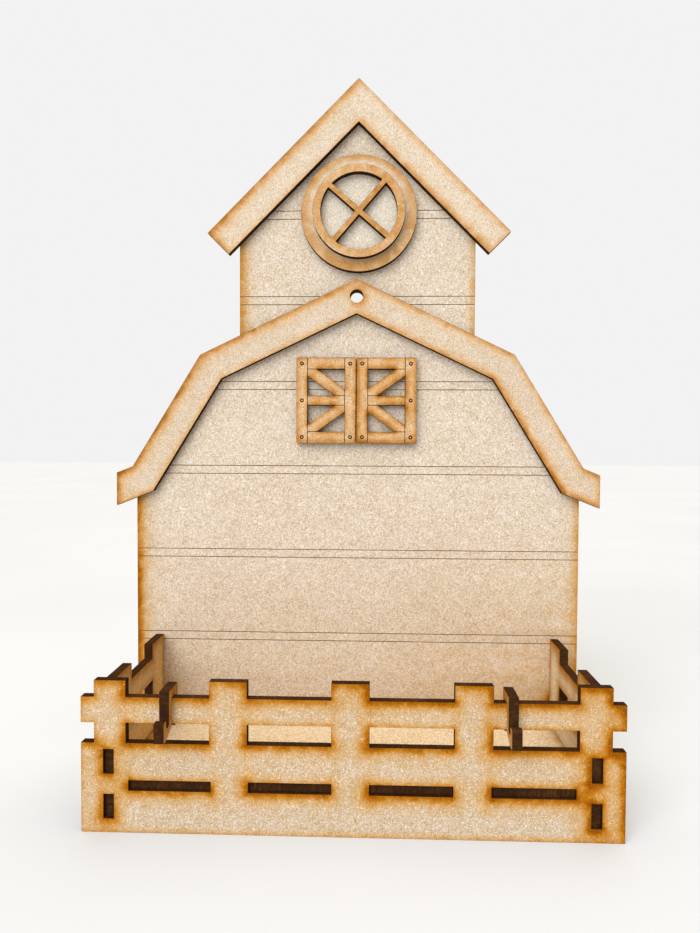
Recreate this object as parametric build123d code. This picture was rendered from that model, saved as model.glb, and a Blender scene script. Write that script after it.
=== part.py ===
from build123d import *
import math
import os

# A craft barn box: a barn-shaped back board with a low crate along its foot,
# flat pieces cut from one sheet and glued, their tabs seated in mortises, and
# two loose hooks hung over the front rail.
# Millimetres. +Z is up, +X is the viewer's right, -Y faces the viewer, and the
# origin is on the table under the middle of the whole piece.

# The sheet and its fits
sheet = 3.0                # thickness of every piece
mortise_play = 0.2         # how much wider and longer a mortise is than its tab
tab_recess = 1.1           # how far a tab's end stops short of the outer face
floor_play = 0.1           # gap between the floor's ends and each side fence

# Front fence, from its bottom edge up and from its end inwards
board_height = 27.8        # solid board along the foot
gap_height = 6.2           # slot between the board and the rail
rail_height = 8.0
post_rise = 5.1            # posts above the top of the rail
rail_overhang = 4.1        # rail and board beyond the end posts
end_post_width = 9.8
post_width = 11.6
gap_width = 25.6           # clear width between posts
gap_count = 4

# Side fences
inside_depth = 50.0        # crate, from the front fence to the back board
side_inset = 8.5           # crate's end to the middle of the side fence
side_post_width = 14.1

# Tabs of the side fences
side_tab_height = 7.4
lower_tab_lift = 4.4       # bottom edge of the fence to the lower tab
upper_tab_margin = 2.1     # upper tab to the top of the board

# Floor
floor_lift = 13.2          # table to the underside of the floor
floor_tab_length = 25.1
floor_tab_pitch = 36.8

# Barn roof line, as the outer edge of its trim runs down from the ridge
upper_rise = 27.6          # ridge above the shoulder
shoulder_in = 24.7         # shoulder inside the wall
lower_rise = 41.4          # shoulder above the eave's kink
kink_out = 0.7             # kink outside the wall
eave_fall = 2.4            # kink above the eave's tip
eave_overhang = 6.7        # tip outside the wall
eave_height = 108.3        # table to the eave's tip
barn_trim_width = 11.3
trim_lap = 2.0             # back board's roof edges inside the trims' outer edges
hang_hole_diameter = 4.8

# Tower
tower_width = 87.0
tower_roof_pitch = 45.0
tower_roof_overhang = 11.9  # wall to the outer corner of the trim's end
tower_trim_width = 11.0
tower_trim_shift = 0.5     # glued a little to the right of the tower's middle

# Round window on the tower
disc_radius = 21.1
disc_ridge_gap = 2.7       # barn trim's ridge to the disc
disc_roof_gap = 2.2        # disc to the tower trim, square to the slope
ring_radius = 16.75
ring_opening_radius = 13.85
muntin_width = 1.9
ring_turn = 4.0            # the glazing cross is glued on a little askew
window_shift = 0.7         # and the whole window a little to the right

# Loft shutters
shutter_width = 21.9
shutter_height = 31.4
shutter_part = 0.3         # line between the two shutters
shutter_roof_gap = 5.6     # top corner to the barn trim, straight up
stile_width = 4.1
end_rail_height = 4.2
middle_rail_height = 3.5
brace_width = 4.0

# Hooks on the front rail
hook_play = 0.2            # between a hook's leg and each face of the rail
hook_seat = 0.1            # between the hook's crown and the top of the rail
hook_leg = 3.0
hook_crown = 2.8
rear_leg_drop = 1.7        # rear leg below the rail
heel_drop = 0.5            # front leg's heel below the rail
lip_gap = 2.8              # throat between the front leg and the lip
lip_width = 2.8
lip_rise = 3.4             # lip's top above the rail's underside
throat_rise = 0.7          # throat's bottom above the rail's underside
toe_drop = 2.6             # toe below the rail
lip_radius = 0.6
left_hook_step = 12.8      # the post on a hook's left to the hook's middle
right_hook_step = 5.3

# Sizes that follow
rail_bottom = board_height + gap_height
rail_top = rail_bottom + rail_height
post_top = rail_top + post_rise
post_pitch = gap_width + post_width
posts_span = gap_count * gap_width + (gap_count - 1) * post_width
crate_length = posts_span + 2 * (end_post_width + rail_overhang)
half_length = crate_length / 2
side_middle = half_length - side_inset
floor_length = 2 * (side_middle - sheet / 2 - floor_play)
tab_length = sheet - tab_recess
upper_tab_lift = board_height - upper_tab_margin - side_tab_height

hook_reach = hook_play + hook_leg + lip_gap + lip_width
overall_depth = hook_reach + 2 * sheet + inside_depth
fence_front = hook_reach - overall_depth / 2
fence_back = fence_front + sheet
board_front = fence_back + inside_depth
trim_front = board_front - sheet
ring_front = trim_front - sheet

shoulder = Vector(half_length - shoulder_in, eave_height + eave_fall + lower_rise)
ridge = Vector(0, shoulder.Y + upper_rise)
kink = Vector(half_length + kink_out, eave_height + eave_fall)
eave_tip = Vector(half_length + eave_overhang, eave_height)
barn_roof = [ridge, shoulder, kink, eave_tip]
ridge_slope = (shoulder - ridge).normalized()
barn_trim_drop = barn_trim_width / ridge_slope.X
hang_hole_height = ridge.Y - barn_trim_drop / 2

tower_slope = Vector(math.cos(math.radians(tower_roof_pitch)), -math.sin(math.radians(tower_roof_pitch)))
disc_height = ridge.Y + disc_ridge_gap + disc_radius
tower_peak_height = disc_height + (disc_radius + disc_roof_gap + tower_trim_width) / tower_slope.X
tower_eave_x = tower_width / 2 + tower_roof_overhang
tower_peak = Vector(0, tower_peak_height)
tower_eave = tower_peak + tower_slope * (tower_eave_x / tower_slope.X)
tower_roof = [tower_peak, tower_eave]

shutter_offset = (shutter_width + shutter_part) / 2
shutter_corner_fall = (shutter_offset + shutter_width / 2) * -ridge_slope.Y / ridge_slope.X
shutter_top = ridge.Y - barn_trim_drop - shutter_corner_fall - shutter_roof_gap


def block(left, bottom, right, top):
    """A rectangle by its edges."""
    return Pos(left, bottom) * Rectangle(right - left, top - bottom, align=(Align.MIN, Align.MIN))


def outline(points):
    """A closed straight-sided face."""
    return make_face(Polyline(*points, close=True))


def across(front, face):
    """A piece standing across the box, with its front face at the given Y."""
    back = Plane(origin=(0, front + sheet, 0), x_dir=(1, 0, 0), z_dir=(0, -1, 0))
    return extrude(back * face, sheet)


def along(middle, face):
    """A piece standing front to back, with its mid-thickness at the given X."""
    left = Plane(origin=(middle - sheet / 2, 0, 0), x_dir=(0, 1, 0), z_dir=(1, 0, 0))
    return extrude(left * face, sheet)


def inside_line(roof, inset):
    """A roof line's corners moved inwards, square to each slope, with sharp mitres."""
    slopes = [(lower - upper).normalized() for upper, lower in zip(roof, roof[1:])]
    normals = [Vector(slope.Y, -slope.X) for slope in slopes]
    line = [roof[0] - Vector(0, inset / slopes[0].X)]
    for corner, above, below in zip(roof[1:], normals, normals[1:]):
        line.append(corner + (above + below) * (inset / (1 + above.dot(below))))
    return line, slopes[-1], normals[-1]


def plumb_line(roof, inset):
    """The moved roof line, ended by a plumb cut."""
    line, slope, normal = inside_line(roof, inset)
    return line + [roof[-1] - Vector(0, inset / slope.X)]


def square_line(roof, inset):
    """The moved roof line, ended square to the slope."""
    line, slope, normal = inside_line(roof, inset)
    return line + [roof[-1] + normal * inset]


def both_slopes(line):
    """A right-hand roof line joined to its mirror image, from left to right."""
    mirrored = [Vector(-point.X, point.Y) for point in reversed(line[1:])]
    return mirrored + line


def under_roof(line):
    """Everything below a roof line, down to the table."""
    right = line[-1].X
    return outline(both_slopes(line) + [Vector(right, 0), Vector(-right, 0)])


def post_positions():
    """Left edge and width of each front post."""
    first = -posts_span / 2
    posts = [(first - end_post_width, end_post_width)]
    posts += [(first + gap_width + step * post_pitch, post_width) for step in range(gap_count - 1)]
    posts.append((-first, end_post_width))
    return posts


def side_tabs(grow):
    """Heights of a side fence's two tabs, or of their mortises when grown."""
    lifts = (lower_tab_lift, upper_tab_lift)
    return [(lift - grow / 2, lift + side_tab_height + grow / 2) for lift in lifts]


def floor_tabs(grow):
    """Ends of the floor's tabs along X, or of their mortises when grown."""
    half = (floor_tab_length + grow) / 2
    middles = [(step - (gap_count - 1) / 2) * floor_tab_pitch for step in range(gap_count)]
    return [(middle - half, middle + half) for middle in middles]


def mortises():
    """The holes that take the side fences and the floor, alike in front and back."""
    half = (sheet + mortise_play) / 2
    holes = [
        block(side * side_middle - half, bottom, side * side_middle + half, top)
        for side in (-1, 1)
        for bottom, top in side_tabs(mortise_play)
    ]
    bottom = floor_lift - mortise_play / 2
    top = floor_lift + sheet + mortise_play / 2
    holes += [block(left, bottom, right, top) for left, right in floor_tabs(mortise_play)]
    return Sketch() + holes


def make_front_fence():
    """Board, rail and five posts in one sheet, pierced for the tabs."""
    face = block(-half_length, 0, half_length, board_height)
    face += block(-half_length, rail_bottom, half_length, rail_top)
    for left, width in post_positions():
        face += block(left, 0, left + width, post_top)
    return across(fence_front, face - mortises())


def make_side_fence(side):
    """The same fence seen from the end, with two tabs at the front and two at the back."""
    face = block(fence_back, 0, board_front, board_height)
    face += block(fence_back, rail_bottom, board_front, rail_top)
    face += block(fence_back, 0, fence_back + side_post_width, post_top)
    face += block(board_front - side_post_width, 0, board_front, post_top)
    for bottom, top in side_tabs(0):
        face += block(fence_back - tab_length, bottom, board_front + tab_length, top)
    return along(side * side_middle, face)


def make_floor():
    """The crate's floor, held clear of the table by its tabs."""
    face = block(-floor_length / 2, fence_back, floor_length / 2, board_front)
    for left, right in floor_tabs(0):
        face += block(left, fence_back - tab_length, right, board_front + tab_length)
    return extrude(Pos(0, 0, floor_lift) * face, sheet)


def hang_hole():
    """The hole through the barn trim's ridge and the board behind it."""
    return Pos(0, hang_hole_height) * Circle(hang_hole_diameter / 2)


def make_back_board():
    """Barn and tower in one sheet, their roof edges hidden behind the trims."""
    barn = under_roof(plumb_line(barn_roof, trim_lap))
    barn &= block(-half_length, 0, half_length, ridge.Y)
    tower = under_roof(square_line(tower_roof, trim_lap))
    tower &= block(-tower_width / 2, 0, tower_width / 2, tower_peak_height)
    return across(board_front, barn + tower - mortises() - hang_hole())


def make_barn_trim():
    """One mitred strip over both slopes and flared eaves, cut plumb at its ends."""
    inner = plumb_line(barn_roof, barn_trim_width)
    strip = outline(both_slopes(barn_roof) + both_slopes(inner)[::-1])
    return across(trim_front, strip - hang_hole())


def make_tower_trim():
    """One mitred strip over the tower, cut square at its ends."""
    inner = square_line(tower_roof, tower_trim_width)
    strip = outline(both_slopes(tower_roof) + both_slopes(inner)[::-1])
    return across(trim_front, Pos(tower_trim_shift, 0) * strip)


def make_window_disc():
    """The round board that backs the window."""
    return across(trim_front, Pos(window_shift, disc_height) * Circle(disc_radius))


def make_window_ring():
    """A ring with a diagonal cross of glazing bars, cut in one."""
    cross = Rectangle(2 * ring_opening_radius, muntin_width)
    cross += Rot(0, 0, 90) * cross
    opening = Circle(ring_opening_radius) - cross
    face = Rot(0, 0, 45 + ring_turn) * (Circle(ring_radius) - opening)
    return across(ring_front, Pos(window_shift, disc_height) * face)


def make_shutter(side):
    """A framed shutter with a middle rail and two braces that meet at its inner stile."""
    inner_edge = shutter_width / 2 - stile_width
    opening_top = shutter_height / 2 - end_rail_height
    opening_bottom = middle_rail_height / 2
    frame = Rectangle(shutter_width, shutter_height)
    braces = Sketch()
    for half in (1, -1):
        low, high = sorted((half * opening_bottom, half * opening_top))
        frame -= block(-inner_edge, low, inner_edge, high)
        run = Vector(2 * inner_edge, half * (opening_bottom - opening_top))
        middle = Vector(0, half * (opening_bottom + opening_top) / 2)
        turn = math.degrees(math.atan2(run.Y, run.X))
        brace = Rectangle(run.length + brace_width, brace_width)
        braces += Pos(middle.X, middle.Y) * Rot(0, 0, turn) * brace
    braces &= block(-inner_edge, -opening_top, inner_edge, opening_top)
    face = frame + braces
    if side > 0:
        face = mirror(face, about=Plane.YZ)
    return across(trim_front, Pos(side * shutter_offset, shutter_top - shutter_height / 2) * face)


def hook_face():
    """A hook's outline seen from the end, with the rail standing in its slot."""
    leg_back = fence_front - hook_play
    leg_front = leg_back - hook_leg
    lip_back = leg_front - lip_gap
    lip_front = lip_back - lip_width
    slot_back = fence_back + hook_play
    rear = slot_back + hook_leg
    slot_top = rail_top + hook_seat
    crown_top = slot_top + hook_crown
    throat = rail_bottom + throat_rise
    lip_top = rail_bottom + lip_rise
    body = outline([
        (leg_back, slot_top),
        (slot_back, slot_top),
        (slot_back, rail_bottom - rear_leg_drop),
        (rear, rail_bottom - rear_leg_drop),
        (rear, crown_top),
        (leg_front, crown_top),
        (leg_front, throat),
        (lip_back, throat),
        (lip_back, lip_top),
        (lip_front, lip_top),
        (lip_front, rail_bottom - toe_drop),
        (lip_back, rail_bottom - toe_drop),
        (leg_back, rail_bottom - heel_drop),
    ])
    lip_corners = body.vertices().filter_by_position(Axis.Y, lip_top, lip_top)
    body = fillet(lip_corners, lip_radius)
    throat_corners = body.vertices().filter_by_position(Axis.Y, throat, throat)
    return fillet(throat_corners, lip_gap / 2 - lip_radius / 2)


def make_hook(gap, step):
    """A hook astride the rail, a step to the right of the post that begins its gap."""
    middle = -posts_span / 2 + gap * post_pitch + step
    return along(middle, hook_face())


pieces = {
    "back_board": make_back_board(),
    "barn_roof_trim": make_barn_trim(),
    "tower_roof_trim": make_tower_trim(),
    "window_disc": make_window_disc(),
    "window_ring": make_window_ring(),
    "left_shutter": make_shutter(-1),
    "right_shutter": make_shutter(1),
    "front_fence": make_front_fence(),
    "left_fence": make_side_fence(-1),
    "right_fence": make_side_fence(1),
    "floor": make_floor(),
    "left_hook": make_hook(0, left_hook_step),
    "right_hook": make_hook(gap_count - 1, right_hook_step),
}

os.makedirs("parts", exist_ok=True)
for node, piece in pieces.items():
    export_step(piece, f"parts/{node}.step")
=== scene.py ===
import math

import bpy
import numpy as np
from mathutils import Matrix, Vector


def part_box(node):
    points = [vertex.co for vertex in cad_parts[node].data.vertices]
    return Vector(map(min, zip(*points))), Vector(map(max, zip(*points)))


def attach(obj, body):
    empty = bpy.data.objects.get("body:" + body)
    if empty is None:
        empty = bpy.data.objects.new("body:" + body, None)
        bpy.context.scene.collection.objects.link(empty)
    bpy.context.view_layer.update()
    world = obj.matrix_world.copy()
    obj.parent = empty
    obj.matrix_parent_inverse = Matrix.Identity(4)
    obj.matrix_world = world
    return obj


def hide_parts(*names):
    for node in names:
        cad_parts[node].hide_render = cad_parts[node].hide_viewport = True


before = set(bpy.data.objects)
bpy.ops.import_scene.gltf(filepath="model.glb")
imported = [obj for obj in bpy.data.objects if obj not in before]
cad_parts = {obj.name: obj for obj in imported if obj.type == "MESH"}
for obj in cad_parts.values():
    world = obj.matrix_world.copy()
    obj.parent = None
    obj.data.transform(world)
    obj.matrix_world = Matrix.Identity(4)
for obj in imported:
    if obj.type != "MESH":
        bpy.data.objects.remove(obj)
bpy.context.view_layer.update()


# The back board: barn and tower in one sheet of 3 mm fibreboard, left bare. The laser
# that cut it charred its edges, scorched the face beside them and engraved pairs of
# siding lines. Trims, window and shutters are glued on, and the crate's tabs go into it.

ACROSS_X, ACROSS_Y, ACROSS_Z = 0, 1, 2
FACING = 0.9  # a face whose normal lies this far along an axis is square to it
TOUCHING = 1e-6  # points this close, in metres, are one


def shade(red, green, blue):
    """A colour as the eye sees it, 0 to 255, in the linear values that a shader takes."""
    parts = [value / 255 for value in (red, green, blue)]
    linear = [
        part / 12.92 if part <= 0.04045 else ((part + 0.055) / 1.055) ** 2.4 for part in parts]
    return (*linear, 1.0)


class Signal:
    """A shader socket that takes part in sums, so that a finish reads as arithmetic."""

    def __init__(self, finish, socket):
        self.finish = finish
        self.socket = socket

    def maths(self, operation, *values):
        return self.finish.node(
            "ShaderNodeMath", {"operation": operation}, dict(enumerate(values)))

    def __add__(self, other):
        return self.maths("ADD", self, other)

    def __radd__(self, other):
        return self.maths("ADD", other, self)

    def __sub__(self, other):
        return self.maths("SUBTRACT", self, other)

    def __rsub__(self, other):
        return self.maths("SUBTRACT", other, self)

    def __mul__(self, other):
        return self.maths("MULTIPLY", self, other)

    def __rmul__(self, other):
        return self.maths("MULTIPLY", other, self)

    def held(self):
        """The same, held between 0 and 1."""
        return self.maths("MINIMUM", self.maths("MAXIMUM", self, 0.0), 1.0)


class Finish:
    """One material, made node by node."""

    def __init__(self, name):
        self.material = bpy.data.materials.new(name)
        self.material.use_nodes = True
        self.tree = self.material.node_tree
        self.tree.nodes.clear()
        self.place = self.node("ShaderNodeTexCoord", out="Object")

    def node(self, kind, settings=None, values=None, out=0):
        made = self.tree.nodes.new(kind)
        for name, value in (settings or {}).items():
            if name == "stops":
                ramp = made.color_ramp
                while len(ramp.elements) < len(value):
                    ramp.elements.new(1.0)
                for element, (position, colour) in zip(ramp.elements, value):
                    element.position = position
                    element.color = colour
            else:
                setattr(made, name, value)
        for key, value in (values or {}).items():
            if isinstance(value, Signal):
                self.tree.links.new(value.socket, made.inputs[key])
            else:
                made.inputs[key].default_value = value
        return Signal(self, made.outputs[out]) if made.outputs else None

    def grain(self, size, detail=2.0, roughness=0.5, distortion=0.0, place=None):
        """Noise whose lumps are about that size, in metres."""
        return self.node("ShaderNodeTexNoise", None, {
            "Vector": place or self.place, "Scale": 1 / size, "Detail": detail,
            "Roughness": roughness, "Distortion": distortion})

    def tinted(self, colour, change, warmth):
        """A colour made lighter or darker by that share, each of its parts by its own warmth."""
        swing = self.node(
            "ShaderNodeVectorMath", {"operation": "SCALE"}, {0: warmth, "Scale": change})
        gain = self.node(
            "ShaderNodeVectorMath", {"operation": "ADD"}, {0: swing, 1: (1.0, 1.0, 1.0)})
        return self.node("ShaderNodeVectorMath", {"operation": "MULTIPLY"}, {0: colour, 1: gain})

    def coat(self, colour, roughness, height, rise, sheen=0.05):
        """The surface, with a bump of that rise in metres."""
        bump = self.node(
            "ShaderNodeBump", None, {"Strength": 1.0, "Distance": rise, "Height": height})
        shader = self.node("ShaderNodeBsdfPrincipled", None, {
            "Base Color": colour, "Roughness": roughness, "Normal": bump,
            "Specular IOR Level": sheen})
        self.node("ShaderNodeOutputMaterial", None, {"Surface": shader})
        return self.material


def fibreboard(name, bare, scorched, warmth=(1.0, 1.3, 1.9), straw=0.13):
    """The face of the sheet: matted fibres, pale straws, a few specks and, laid over them, the
    scorch. Warmth says how red, green and blue swing, and straw how strongly the straws show."""
    straw_stretch = 6.5
    mean_straws = 0.27
    cells_in_a_metre = 190.0
    speck_radius = 0.05
    speck_free = 0.75
    finish = Finish(name)
    fuzz = finish.grain(0.0004, roughness=0.7, distortion=0.4)
    fibre = finish.grain(0.00095, detail=3.0, roughness=0.65, distortion=1.2)
    mat = finish.grain(0.003, distortion=0.6)
    cloud = finish.grain(0.016)
    blotch = finish.grain(0.005, detail=3.0, roughness=0.6, distortion=0.8)
    scorch = finish.node("ShaderNodeAttribute", {"attribute_name": "scorch"}, out="Fac")
    uneven = (blotch - 0.5) * 2.8 + (fibre - 0.5) * 2.2 + (fuzz - 0.5) * 2.0
    burnt = (scorch + scorch * (1.1 - scorch * 0.7) * uneven).held()
    stops = [(0.0, bare)] + [(depth, colour) for depth, colour in scorched]
    colour = finish.node("ShaderNodeValToRGB", {"stops": stops}, {"Fac": burnt})

    straws = 0.0
    for turn in ((0.5, 0.4, 0.0), (-0.4, 1.5, 0.2), (0.3, 2.5, -0.3)):
        lie = finish.node("ShaderNodeMapping", {"vector_type": "TEXTURE"}, {
            "Vector": finish.place, "Rotation": turn, "Scale": (1.0, 1.0, straw_stretch)})
        strand = finish.grain(0.00045, detail=1.0, distortion=0.3, place=lie)
        straws = straws + ((strand - 0.61) * 14.0).held()

    places = {"Vector": finish.place, "Scale": cells_in_a_metre}
    cell = finish.node("ShaderNodeTexVoronoi", None, places)
    chance = finish.node("ShaderNodeTexWhiteNoise", None, {
        "Vector": finish.node("ShaderNodeTexVoronoi", None, places, out="Position")})
    speck = ((speck_radius - cell) * 50.0).held() * ((chance - speck_free) * 8.0).held()
    change = (fuzz - 0.5) * 1.3 + (fibre - 0.5) * 0.68 + (mat - 0.5) * 0.2 + (cloud - 0.5) * 0.1
    change = change + (straws - mean_straws) * straw - speck * 0.45
    colour = finish.tinted(colour, change, warmth)
    yellowing = finish.grain(0.0008, roughness=0.6)
    colour = finish.tinted(colour, (yellowing - 0.5) * 0.5, (0.0, 0.35, 1.0))
    rough = 0.86 + (fuzz - 0.5) * 0.2 - scorch * 0.06
    height = fuzz * 0.5 + fibre * 0.5 + straws * 0.25 - speck * 0.4
    return finish.coat(colour, rough, height, rise=0.00009)


def charred(name, across, dark=(22, 10, 4), middle=(52, 30, 14), pale=(90, 59, 32)):
    """A cut edge: burnt nearly black, with the beam's fine lines running through the sheet."""
    finish = Finish(name)
    line_stretch = 0.12
    stretch = [1.0, 1.0, 1.0]
    stretch[across] = line_stretch
    lines = finish.node("ShaderNodeMapping", None, {"Vector": finish.place, "Scale": stretch})
    streak = finish.grain(0.00035, detail=3.0, roughness=0.6, place=lines)
    crust = finish.grain(0.0012, detail=4.0, roughness=0.6, distortion=0.3)
    drift = finish.grain(0.009)
    depth = (streak * 0.5 + crust * 0.35 + drift * 0.35 - 0.1).held()
    stops = [(0.2, shade(*dark)), (0.5, shade(*middle)), (0.8, shade(*pale))]
    colour = finish.node("ShaderNodeValToRGB", {"stops": stops}, {"Fac": depth})
    rough = 0.82 + (crust - 0.5) * 0.3
    return finish.coat(colour, rough, streak * 0.7 + crust * 0.3, rise=0.00009, sheen=0.04)


def engraved(name, dark, light):
    """An engraved line: a shallow burnt groove, unevenly dark."""
    finish = Finish(name)
    crumb = finish.grain(0.0006, detail=3.0, roughness=0.6)
    drift = finish.grain(0.012)
    depth = (crumb * 0.7 + drift * 0.5 - 0.1).held()
    stops = [(0.3, dark), (0.7, light)]
    colour = finish.node("ShaderNodeValToRGB", {"stops": stops}, {"Fac": depth})
    return finish.coat(colour, 0.85 + (crumb - 0.5) * 0.2, crumb, rise=0.00005)


def only(piece):
    """Select this piece and nothing else."""
    bpy.ops.object.select_all(action="DESELECT")
    piece.select_set(True)
    bpy.context.view_layer.objects.active = piece


def spots_of(piece):
    """Where a piece's points are, a row for each."""
    return np.array([vertex.co for vertex in piece.data.vertices])


def cut_path(mesh, across):
    """The laser's path round a sheet: points along it, the length of cut that each stands for,
    the way into the sheet from each, and the path's inner corners with the way in from them."""
    point_spacing = 0.0006
    nearly_straight = -0.7
    meetings = {}
    for face in mesh.polygons:
        for edge in face.edge_keys:
            meetings.setdefault(edge, []).append(face.normal.copy())
    points, shares, inwards, ends = [], [], [], {}
    for edge, normals in meetings.items():
        front, wall = sorted(normals, key=lambda normal: normal[across])
        if front[across] > -FACING or wall[across] < -FACING:
            continue
        start, end = (mesh.vertices[at].co for at in edge)
        steps = max(1, round((end - start).length / point_spacing))
        for step in range(steps):
            points.append(start.lerp(end, (step + 0.5) / steps))
            shares.append((end - start).length / steps)
            inwards.append(-wall)
        ends.setdefault(edge[0], []).append(((end - start).normalized(), -wall))
        ends.setdefault(edge[1], []).append(((start - end).normalized(), -wall))
    corners, ways_in = [], []
    for at, ((way, inward), (other_way, other_inward)) in ends.items():
        if way.dot(other_way) > nearly_straight and other_way.dot(inward) < 0:
            corners.append(mesh.vertices[at].co.copy())
            ways_in.append((inward + other_inward).normalized())
    points, inwards, corners, ways_in = (
        np.array(part).reshape(-1, 3) for part in (points, inwards, corners, ways_in))
    return points, np.array(shares), inwards, corners, ways_in


def cut_sheet(node, name, across, face_finish, edge_finish):
    """A node's sheet as a piece of its own: corners merged, flats whole, edges just broken."""
    piece = bpy.data.objects.new(name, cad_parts[node].data.copy())
    bpy.context.scene.collection.objects.link(piece)
    piece.data.materials.clear()
    only(piece)
    bpy.ops.object.mode_set(mode="EDIT")
    bpy.ops.mesh.select_all(action="SELECT")
    bpy.ops.mesh.remove_doubles(threshold=TOUCHING)
    bpy.ops.mesh.customdata_custom_splitnormals_clear()
    bpy.ops.mesh.mark_sharp(clear=True)
    bpy.ops.mesh.dissolve_limited(angle_limit=math.radians(0.5))
    bpy.ops.object.mode_set(mode="OBJECT")
    path = cut_path(piece.data, across)
    broken = piece.modifiers.new("broken_edges", "BEVEL")
    broken.width = 0.00007
    broken.segments = 1
    broken.limit_method = "ANGLE"
    broken.angle_limit = math.radians(40)
    bpy.ops.object.modifier_apply(modifier=broken.name)
    piece.data.materials.append(face_finish)
    piece.data.materials.append(edge_finish)
    for face in piece.data.polygons:
        face.material_index = 0 if abs(face.normal[across]) > FACING else 1
    return piece, path


def engrave(piece, cutters):
    """Cut the cutters' shapes out of a piece, leaving the cutters' finish in the grooves."""
    for cutter in cutters:
        groove = piece.modifiers.new("groove", "BOOLEAN")
        groove.operation = "DIFFERENCE"
        groove.solver = "EXACT"
        groove.material_mode = "TRANSFER"
        groove.object = cutter
        only(piece)
        bpy.ops.object.modifier_apply(modifier=groove.name)
        bpy.data.objects.remove(cutter)


def made_cutter(finish):
    """The shape just added, as a cutter that leaves that finish."""
    cutter = bpy.context.object
    bpy.ops.object.transform_apply(location=True, rotation=True, scale=True)
    cutter.data.materials.append(finish)
    return cutter


def line_cutter(low, high, finish):
    """A bar that engraves one straight line."""
    middle = [(a + b) / 2 for a, b in zip(low, high)]
    bpy.ops.object.select_all(action="DESELECT")
    bpy.ops.mesh.primitive_cube_add(size=1, location=middle)
    bpy.context.object.dimensions = [b - a for a, b in zip(low, high)]
    return made_cutter(finish)


def joined(cutters):
    """Cutters that don't touch, as one."""
    bpy.ops.object.select_all(action="DESELECT")
    for cutter in cutters:
        cutter.select_set(True)
    bpy.context.view_layer.objects.active = cutters[0]
    bpy.ops.object.join()
    return cutters[0]


def rule_lines(piece, across, spacing):
    """Divide a sheet's faces by evenly ruled lines, so that scorch can be laid spot by spot."""
    only(piece)
    spots = spots_of(piece)
    low, high = spots.min(0), spots.max(0)
    bpy.ops.object.mode_set(mode="EDIT")
    for axis in {ACROSS_X, ACROSS_Y, ACROSS_Z} - {across}:
        count = math.ceil((high[axis] - low[axis]) / spacing)
        square = [0.0, 0.0, 0.0]
        square[axis] = 1.0
        for line in range(1, count):
            point = [0.0, 0.0, 0.0]
            point[axis] = low[axis] + (high[axis] - low[axis]) * line / count
            bpy.ops.mesh.select_all(action="SELECT")
            bpy.ops.mesh.bisect(plane_co=point, plane_no=square, threshold=TOUCHING)
    bpy.ops.object.mode_set(mode="OBJECT")


def lay_scorch(
        piece, path, across, smoke, reach, strength, behind=0.5, browning_and_shade=0.0, plume=0.2,
        drift=None):
    """How deeply each point is scorched. The smoke blew one way, so the cuts whose sheet lies
    that way scorched it deeper and further: reach and strength each give the least and the most.
    Where the path turns round an inner corner the laser slowed and left a plume, larger at some
    corners than at others. A drift makes the scorch stronger towards one end, and
    browning_and_shade
    is added besides: real browning on the shutters, painted shade low on the board, and scorch
    with the ring's painted shadow on the disc. The side away from the beam is scorched less, as
    behind says."""
    points, shares, inwards, corners, ways_in = path
    near_share, far_share = 0.82, 0.18
    far_times = 2.8
    batch = 2000
    least_plume, most_plume = 0.3, 1.0
    upwind_plume, downwind_more = 0.35, 0.65
    flat = [axis for axis in (ACROSS_X, ACROSS_Y, ACROSS_Z) if axis != across]
    spots = spots_of(piece)
    wind = np.array(smoke)[flat] / np.linalg.norm(smoke)

    def leeward(ways):
        """From 0, straight into the wind, to 1, straight before it."""
        return 0.5 + 0.5 * ways[:, flat] @ wind

    spread = reach[0] + (reach[1] - reach[0]) * leeward(inwards)
    heat = strength[0] + (strength[1] - strength[0]) * leeward(inwards)
    heat = heat * shares / (spread * math.sqrt(math.pi))
    depth = np.zeros(len(spots))
    for first in range(0, len(spots), batch):
        some = slice(first, first + batch)
        away = ((spots[some][:, None, flat] - points[None][:, :, flat]) ** 2).sum(2)
        depth[some] += np.exp(-away / spread ** 2) @ (heat * near_share)
        depth[some] += np.exp(-away / (far_times * spread) ** 2) @ (heat * far_share / far_times)
    if len(corners):
        luck = np.random.default_rng(seed=7).uniform(least_plume, most_plume, len(corners))
        luck *= upwind_plume + downwind_more * leeward(ways_in)
        for lead, size, share in ((0.0008, 0.0016, 0.6), (0.0016, 0.0036, 1.0)):
            plumes = corners + ways_in * lead
            away = ((spots[:, None, flat] - plumes[None][:, :, flat]) ** 2).sum(2)
            depth += np.exp(-away / size ** 2) @ (luck * plume * share)
    if drift:
        axis, at_low, at_high = drift
        along = (spots[:, axis] - spots[:, axis].min()) / np.ptp(spots[:, axis])
        depth *= at_low + (at_high - at_low) * along
    depth += browning_and_shade
    middle = (spots[:, across].min() + spots[:, across].max()) / 2
    depth[spots[:, across] > middle] *= behind
    layer = piece.data.attributes.new("scorch", "FLOAT", "POINT")
    layer.data.foreach_set("value", depth.astype(np.float32))


def finish_sheet(piece, node, body):
    """Shade a finished piece, seat it on its body and let it stand for its node."""
    only(piece)
    bpy.ops.object.shade_smooth_by_angle(angle=math.radians(35))
    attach(piece, body)
    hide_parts(node)


# how the scorch deepens on the board, the crate and the hooks
golden = [
    (0.14, shade(184, 153, 114)), (0.28, shade(180, 141, 90)), (0.42, shade(175, 127, 66)),
    (0.58, shade(167, 113, 37)), (0.75, shade(157, 94, 8)), (1.0, shade(130, 72, 0)),
]
board_face = fibreboard("bare_board", shade(195, 180, 162), golden)
cut_edge = charred("charred_edge", ACROSS_Y)
siding_line = engraved("engraved_siding", shade(93, 68, 42), shade(141, 113, 83))

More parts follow.
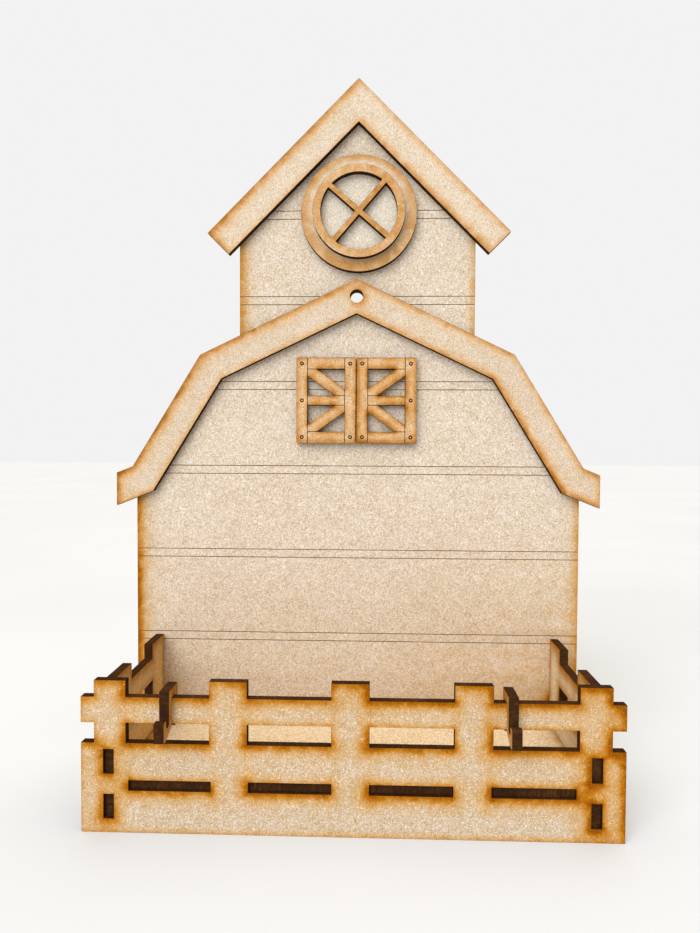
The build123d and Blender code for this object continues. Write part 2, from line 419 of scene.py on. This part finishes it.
board, board_path = cut_sheet("back_board", "back_board_sheet", ACROSS_Y, board_face, cut_edge)
board_low, board_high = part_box("back_board")
siding_pairs = 7
siding_pitch = 0.0314
pair_gap = 0.003
line_width = 0.00028
line_depth = 0.0002
second_pair = 0.04532
lowest_pair = second_pair - siding_pitch
run_out = 0.002
overshoot = 0.001
siding = []
for pair in range(siding_pairs):
    lower_line = lowest_pair + pair * siding_pitch
    for height in (lower_line, lower_line + pair_gap):
        low = (board_low.x - run_out, board_low.y - overshoot, height - line_width / 2)
        high = (board_high.x + run_out, board_low.y + line_depth, height + line_width / 2)
        siding.append(line_cutter(low, high, siding_line))
engrave(board, [joined(siding)])
rule_lines(board, ACROSS_Y, spacing=0.0015)
# painted shade: the board is browned low down, and more towards the right, where less light and
# a warmer bounced light reach it
shaded_height = 0.09
shade_at_left, more_shade_to_right = 0.05, 0.11
spots = spots_of(board)
to_the_right = np.clip(spots[:, ACROSS_X] / board_high.x, 0, 1)
shade_and_stain = shade_at_left + more_shade_to_right * to_the_right
shade_and_stain = np.clip(1 - spots[:, ACROSS_Z] / shaded_height, 0, 1) * shade_and_stain
lay_scorch(
    board, board_path, ACROSS_Y, smoke=(1, 0, 0.1), reach=(0.0014, 0.0018),
    strength=(0.42, 0.95), browning_and_shade=shade_and_stain, plume=0.1, drift=(ACROSS_Z, 1.2, 0.28))
finish_sheet(board, "back_board", "box")


# The roof trims: two mitred strips of the same sheet glued over the board's roof edges,
# the tower's cut square at its ends, the barn's with flared eaves and the hole that the
# box hangs by. They are scorched only close to their edges.

# how it deepens on the trims, the window and the shutters
tan = [
    (0.18, shade(192, 159, 121)), (0.36, shade(184, 142, 95)), (0.55, shade(171, 122, 66)),
    (0.75, shade(156, 100, 34)), (1.0, shade(130, 76, 15)),
]
barn_face = fibreboard("barn_trim_board", shade(192, 177, 158), tan)
# painted light: the tower trim's base is a paler copy of the barn trim's, as the tower stands
# higher where more light falls
tower_face = fibreboard("tower_trim_board", shade(197, 183, 164), tan)

for node, name, face, strength in (
        ("tower_roof_trim", "tower_roof_strip", tower_face, (0.16, 0.6)),
        ("barn_roof_trim", "barn_roof_strip", barn_face, (0.3, 0.72))):
    trim, trim_path = cut_sheet(node, name, ACROSS_Y, face, cut_edge)
    rule_lines(trim, ACROSS_Y, spacing=0.0011)
    lay_scorch(
        trim, trim_path, ACROSS_Y, smoke=(0.85, 0, -0.5), reach=(0.001, 0.0017),
        strength=strength, plume=0.05, drift=(ACROSS_Z, 1.25, 0.8))
    finish_sheet(trim, node, "box")


# The round window: a disc glued to the tower and, on it, a ring with a diagonal cross of
# glazing bars, cut in one. The cuts scorched the narrow ring all over and the disc all
# round its rim. Below the ring a brown band is painted on the disc, deepest at the bottom:
# partly scorch and partly the ring's shadow, painted in.

toasted = fibreboard("toasted_board", shade(206, 196, 180), tan)
disc, disc_path = cut_sheet("window_disc", "window_disc_board", ACROSS_Y, toasted, cut_edge)
rule_lines(disc, ACROSS_Y, spacing=0.001)
# painted shadow and scorch: a band on the disc just below the ring, deepest at the bottom, where
# the ring's shadow falls
shade_and_stain_radius = 0.0183
shade_and_stain_width = 0.0013
shade_and_stain_depth = 0.19
shade_and_stain_lean = 0.3
shade_and_stain_round = 0.35
disc_low, disc_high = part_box("window_disc")
spots = spots_of(disc) - np.array(disc_low + disc_high) / 2
radius = np.hypot(spots[:, ACROSS_X], spots[:, ACROSS_Z])
below = (shade_and_stain_lean * spots[:, ACROSS_X] - spots[:, ACROSS_Z]) / np.maximum(radius, 0.001)
shade_and_stain = shade_and_stain_depth * np.clip(shade_and_stain_round + below, 0, 1)
shade_and_stain = shade_and_stain * np.exp(-((radius - shade_and_stain_radius) / shade_and_stain_width) ** 2)
lay_scorch(
    disc, disc_path, ACROSS_Y, smoke=(0.2, 0, 1), reach=(0.0015, 0.0026), strength=(0.46, 0.38),
    browning_and_shade=shade_and_stain)
finish_sheet(disc, "window_disc", "box")

ring, ring_path = cut_sheet("window_ring", "window_ring_and_bars", ACROSS_Y, toasted, cut_edge)
rule_lines(ring, ACROSS_Y, spacing=0.0007)
lay_scorch(
    ring, ring_path, ACROSS_Y, smoke=(0.7, 0, -1), reach=(0.0016, 0.0022), strength=(0.24, 0.34),
    plume=0.05, drift=(ACROSS_X, 0.7, 1.0))
finish_sheet(ring, "window_ring", "box")


# The loft shutters: a pair of framed leaves glued side by side, each cut in one piece
# and engraved with the lines where its stiles, rails and braces would meet and with a
# small ring for each nail.

shutter_face = fibreboard(
    "shutter_board", shade(188, 168, 142), tan, warmth=(1.4, 2.0, 3.1), straw=0.09)
shutter_line = engraved("engraved_joints", shade(44, 24, 11), shade(84, 52, 27))
nail_line = engraved("engraved_nails", shade(51, 28, 15), shade(83, 52, 28))
stile_width = 0.0041
end_rail = 0.0042
middle_rail = 0.0035
joint_width = 0.00026
joint_depth = 0.00022
nail_inset = 0.0022
nail_radius = 0.00052
nail_line_radius = 0.00024


def shutter(node, name, outer_side, strength):
    """One shutter; its outer stile, with three nails, is on that side."""
    leaf, leaf_path = cut_sheet(node, name, ACROSS_Y, shutter_face, cut_edge)
    low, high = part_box(node)
    front, groove = low.y - overshoot, low.y + joint_depth
    half = joint_width / 2
    uprights = []
    for x in (low.x + stile_width, high.x - stile_width):
        start, end = low.z - overshoot, high.z + overshoot
        uprights.append(
            line_cutter((x - half, front, start), (x + half, groove, end), shutter_line))
    middle = (low.z + high.z) / 2
    levels = (
        low.z + end_rail, middle - middle_rail / 2, middle + middle_rail / 2, high.z - end_rail)
    bars = []
    for z in levels:
        start, end = low.x + stile_width, high.x - stile_width
        bars.append(line_cutter((start, front, z - half), (end, groove, z + half), shutter_line))
    nails = []
    bottom, top = low.z + nail_inset, high.z - nail_inset
    for side, heights in ((outer_side, (bottom, middle, top)), (-outer_side, (bottom, top))):
        x = high.x - stile_width / 2 if side > 0 else low.x + stile_width / 2
        for z in heights:
            bpy.ops.object.select_all(action="DESELECT")
            bpy.ops.mesh.primitive_torus_add(
                location=(x, low.y, z), rotation=(math.radians(90), 0, 0), major_segments=20,
                minor_segments=6, major_radius=nail_radius, minor_radius=nail_line_radius)
            nails.append(made_cutter(nail_line))
    engrave(leaf, [joined(uprights), joined(bars), joined(nails)])
    rule_lines(leaf, ACROSS_Y, spacing=0.0008)
    lay_scorch(
        leaf, leaf_path, ACROSS_Y, smoke=(0.6, 0, 1), reach=(0.0008, 0.0015), strength=strength,
        browning_and_shade=0.07, plume=0.05)
    finish_sheet(leaf, node, "box")


shutter("left_shutter", "left_shutter_leaf", outer_side=-1, strength=(0.37, 0.48))
shutter("right_shutter", "right_shutter_leaf", outer_side=1, strength=(0.47, 0.64))


# The crate's floor and its two ends, cut from the same sheet, with tabs that go into
# mortises in the back board and the front fence. The ends are little fences: a board,
# a rail and a post at each end. The floor and the right end's inner face get a paler copy
# of the sheet's colour, painted light, and the left end's inner face a warm amber, painted
# shade with warm bounced light.

floor_edge = charred("charred_floor_edge", ACROSS_Z)
side_edge = charred("charred_side_edge", ACROSS_X)
# painted light: a paler, warmer copy of the sheet's colour for the floor and the right end's
# inner face, standing in for light inside the crate
painted_light_crate_face = fibreboard("crate_board_painted_light", shade(220, 200, 168), golden)
# painted shade: a warm amber copy of the sheet's colour for the left end's inner face, which
# looks away from the light, with warm bounced light painted in
shaded_face = fibreboard("shaded_inner_board", shade(214, 175, 112), golden)

crate_floor, floor_path = cut_sheet(
    "floor", "crate_floor_sheet", ACROSS_Z, painted_light_crate_face, floor_edge)
rule_lines(crate_floor, ACROSS_Z, spacing=0.0015)
lay_scorch(
    crate_floor, floor_path, ACROSS_Z, smoke=(1, -0.4, 0), reach=(0.0012, 0.002),
    strength=(0.35, 0.8), behind=1.0)
finish_sheet(crate_floor, "floor", "box")

for node, inner_face, inwards in (
        ("left_fence", shaded_face, 1), ("right_fence", painted_light_crate_face, -1)):
    end, end_path = cut_sheet(node, node + "_sheet", ACROSS_X, board_face, side_edge)
    end.data.materials.append(inner_face)
    for face in end.data.polygons:
        if face.normal.x * inwards > FACING:
            face.material_index = 2
    rule_lines(end, ACROSS_X, spacing=0.0011)
    lay_scorch(
        end, end_path, ACROSS_X, smoke=(0, 0.3, -1), reach=(0.0011, 0.0019),
        strength=(0.3, 0.65), behind=0.8, plume=0.1)
    finish_sheet(end, node, "box")


# The front fence: board, rail and five posts in one sheet, pierced for the tabs of the
# floor and the side fences and glued on last. Its many close cuts scorched it more than
# any other piece, most of all below and to the left of each cut.

fence_face = fibreboard(
    "fence_board", shade(185, 167, 145), golden, warmth=(1.0, 1.45, 2.5), straw=0.22)
fence_edge = charred(
    "charred_fence_edge", ACROSS_Y, dark=(22, 10, 4), middle=(53, 31, 14), pale=(92, 60, 30))
fence, fence_path = cut_sheet(
    "front_fence", "front_fence_sheet", ACROSS_Y, fence_face, fence_edge)
rule_lines(fence, ACROSS_Y, spacing=0.001)
lay_scorch(
    fence, fence_path, ACROSS_Y, smoke=(-0.65, 0, -0.76), reach=(0.0007, 0.0019),
    strength=(0.27, 0.9), plume=0.3, drift=(ACROSS_X, 0.84, 1.2))
finish_sheet(fence, "front_fence", "box")


# The two loose hooks: cut from the same sheet and hung over the front rail, each with
# an upturned lip at the front. They are narrow, so nearly all that shows of them from
# the front is charred edge.

hook_face = fibreboard("hook_board", shade(186, 159, 125), golden)
for hook in ("left_hook", "right_hook"):
    hanger, hanger_path = cut_sheet(hook, hook + "_hanger", ACROSS_X, hook_face, side_edge)
    rule_lines(hanger, ACROSS_X, spacing=0.0007)
    lay_scorch(
        hanger, hanger_path, ACROSS_X, smoke=(0, 0.3, -1), reach=(0.0012, 0.0018),
        strength=(0.3, 0.5), behind=1.0, plume=0.1)
    finish_sheet(hanger, hook, hook)


# The table, the light and the view: a plain pale table top, soft window light from the
# upper left in front, softer light from the ceiling and the walls, and the photograph's
# own view of the box.

just_below = -0.00001
bpy.ops.object.select_all(action="DESELECT")
bpy.ops.mesh.primitive_plane_add(size=8, location=(0, 0, just_below))
table_top = bpy.context.object
table_top.name = "table_top"
paint = Finish("pale_table")
sweep = paint.grain(0.2)
whites = [(0.3, shade(197, 202, 209)), (0.7, shade(201, 206, 213))]
table_white = paint.node("ShaderNodeValToRGB", {"stops": whites}, {"Fac": sweep})
table_rough = 0.6 + (sweep - 0.5) * 0.1
table_top.data.materials.append(paint.coat(table_white, table_rough, sweep, rise=0.0001))


def light_up(name, energy, colour, softness, direction):
    """Light that falls everywhere in one direction, softened over that many degrees."""
    light = bpy.data.lights.new(name, "SUN")
    light.energy = energy
    light.color = colour
    light.angle = math.radians(softness)
    lamp = bpy.data.objects.new(name, light)
    bpy.context.scene.collection.objects.link(lamp)
    lamp.rotation_euler = Vector(direction).to_track_quat("-Z", "Y").to_euler()


light_up(
    "window_light", energy=3.42, colour=(0.92, 0.955, 1.0), softness=55,
    direction=(0.43, 1.0, -0.66))
light_up(
    "ceiling_light", energy=2.6, colour=(1.0, 0.93, 0.83), softness=90,
    direction=(-0.1, -0.05, -1.0))

room = bpy.data.worlds.new("room")
bpy.context.scene.world = room
room.use_nodes = True
room.node_tree.nodes.clear()
links = room.node_tree.links
ambient = room.node_tree.nodes.new("ShaderNodeBackground")
seen = room.node_tree.nodes.new("ShaderNodeBackground")
for glow, colour, strength in (
        (ambient, (1.0, 0.83, 0.58, 1.0), 0.38), (seen, (0.89, 0.89, 0.89, 1.0), 1.0)):
    glow.inputs["Color"].default_value = colour
    glow.inputs["Strength"].default_value = strength
rays = room.node_tree.nodes.new("ShaderNodeLightPath")
either = room.node_tree.nodes.new("ShaderNodeMixShader")
sky = room.node_tree.nodes.new("ShaderNodeOutputWorld")
links.new(rays.outputs["Is Camera Ray"], either.inputs[0])
links.new(ambient.outputs[0], either.inputs[1])
links.new(seen.outputs[0], either.inputs[2])
links.new(either.outputs[0], sky.inputs["Surface"])

bpy.context.scene.view_settings.view_transform = "Standard"

picture_width, picture_height = 700, 933
focal_pixels = 710
view = bpy.data.cameras.new("photo_view")
view.sensor_width = 36
view.lens = view.sensor_width * focal_pixels / max(picture_width, picture_height)
view.clip_start = 0.01
view.clip_end = 20
eye = bpy.data.objects.new("photo_view", view)
bpy.context.scene.collection.objects.link(eye)
eye_place = (0.00664, -0.23515, 0.11943)
turned, tipped, rolled = math.radians(1.924), math.radians(-1.835), math.radians(-0.2606)
level = Matrix.Rotation(math.radians(90), 3, "X")
turn = Matrix.Rotation(turned, 3, "Z") @ Matrix.Rotation(tipped, 3, "X")
turn = turn @ Matrix.Rotation(rolled, 3, "Y") @ level
eye.matrix_world = Matrix.Translation(eye_place) @ turn.to_4x4()
bpy.context.scene.camera = eye
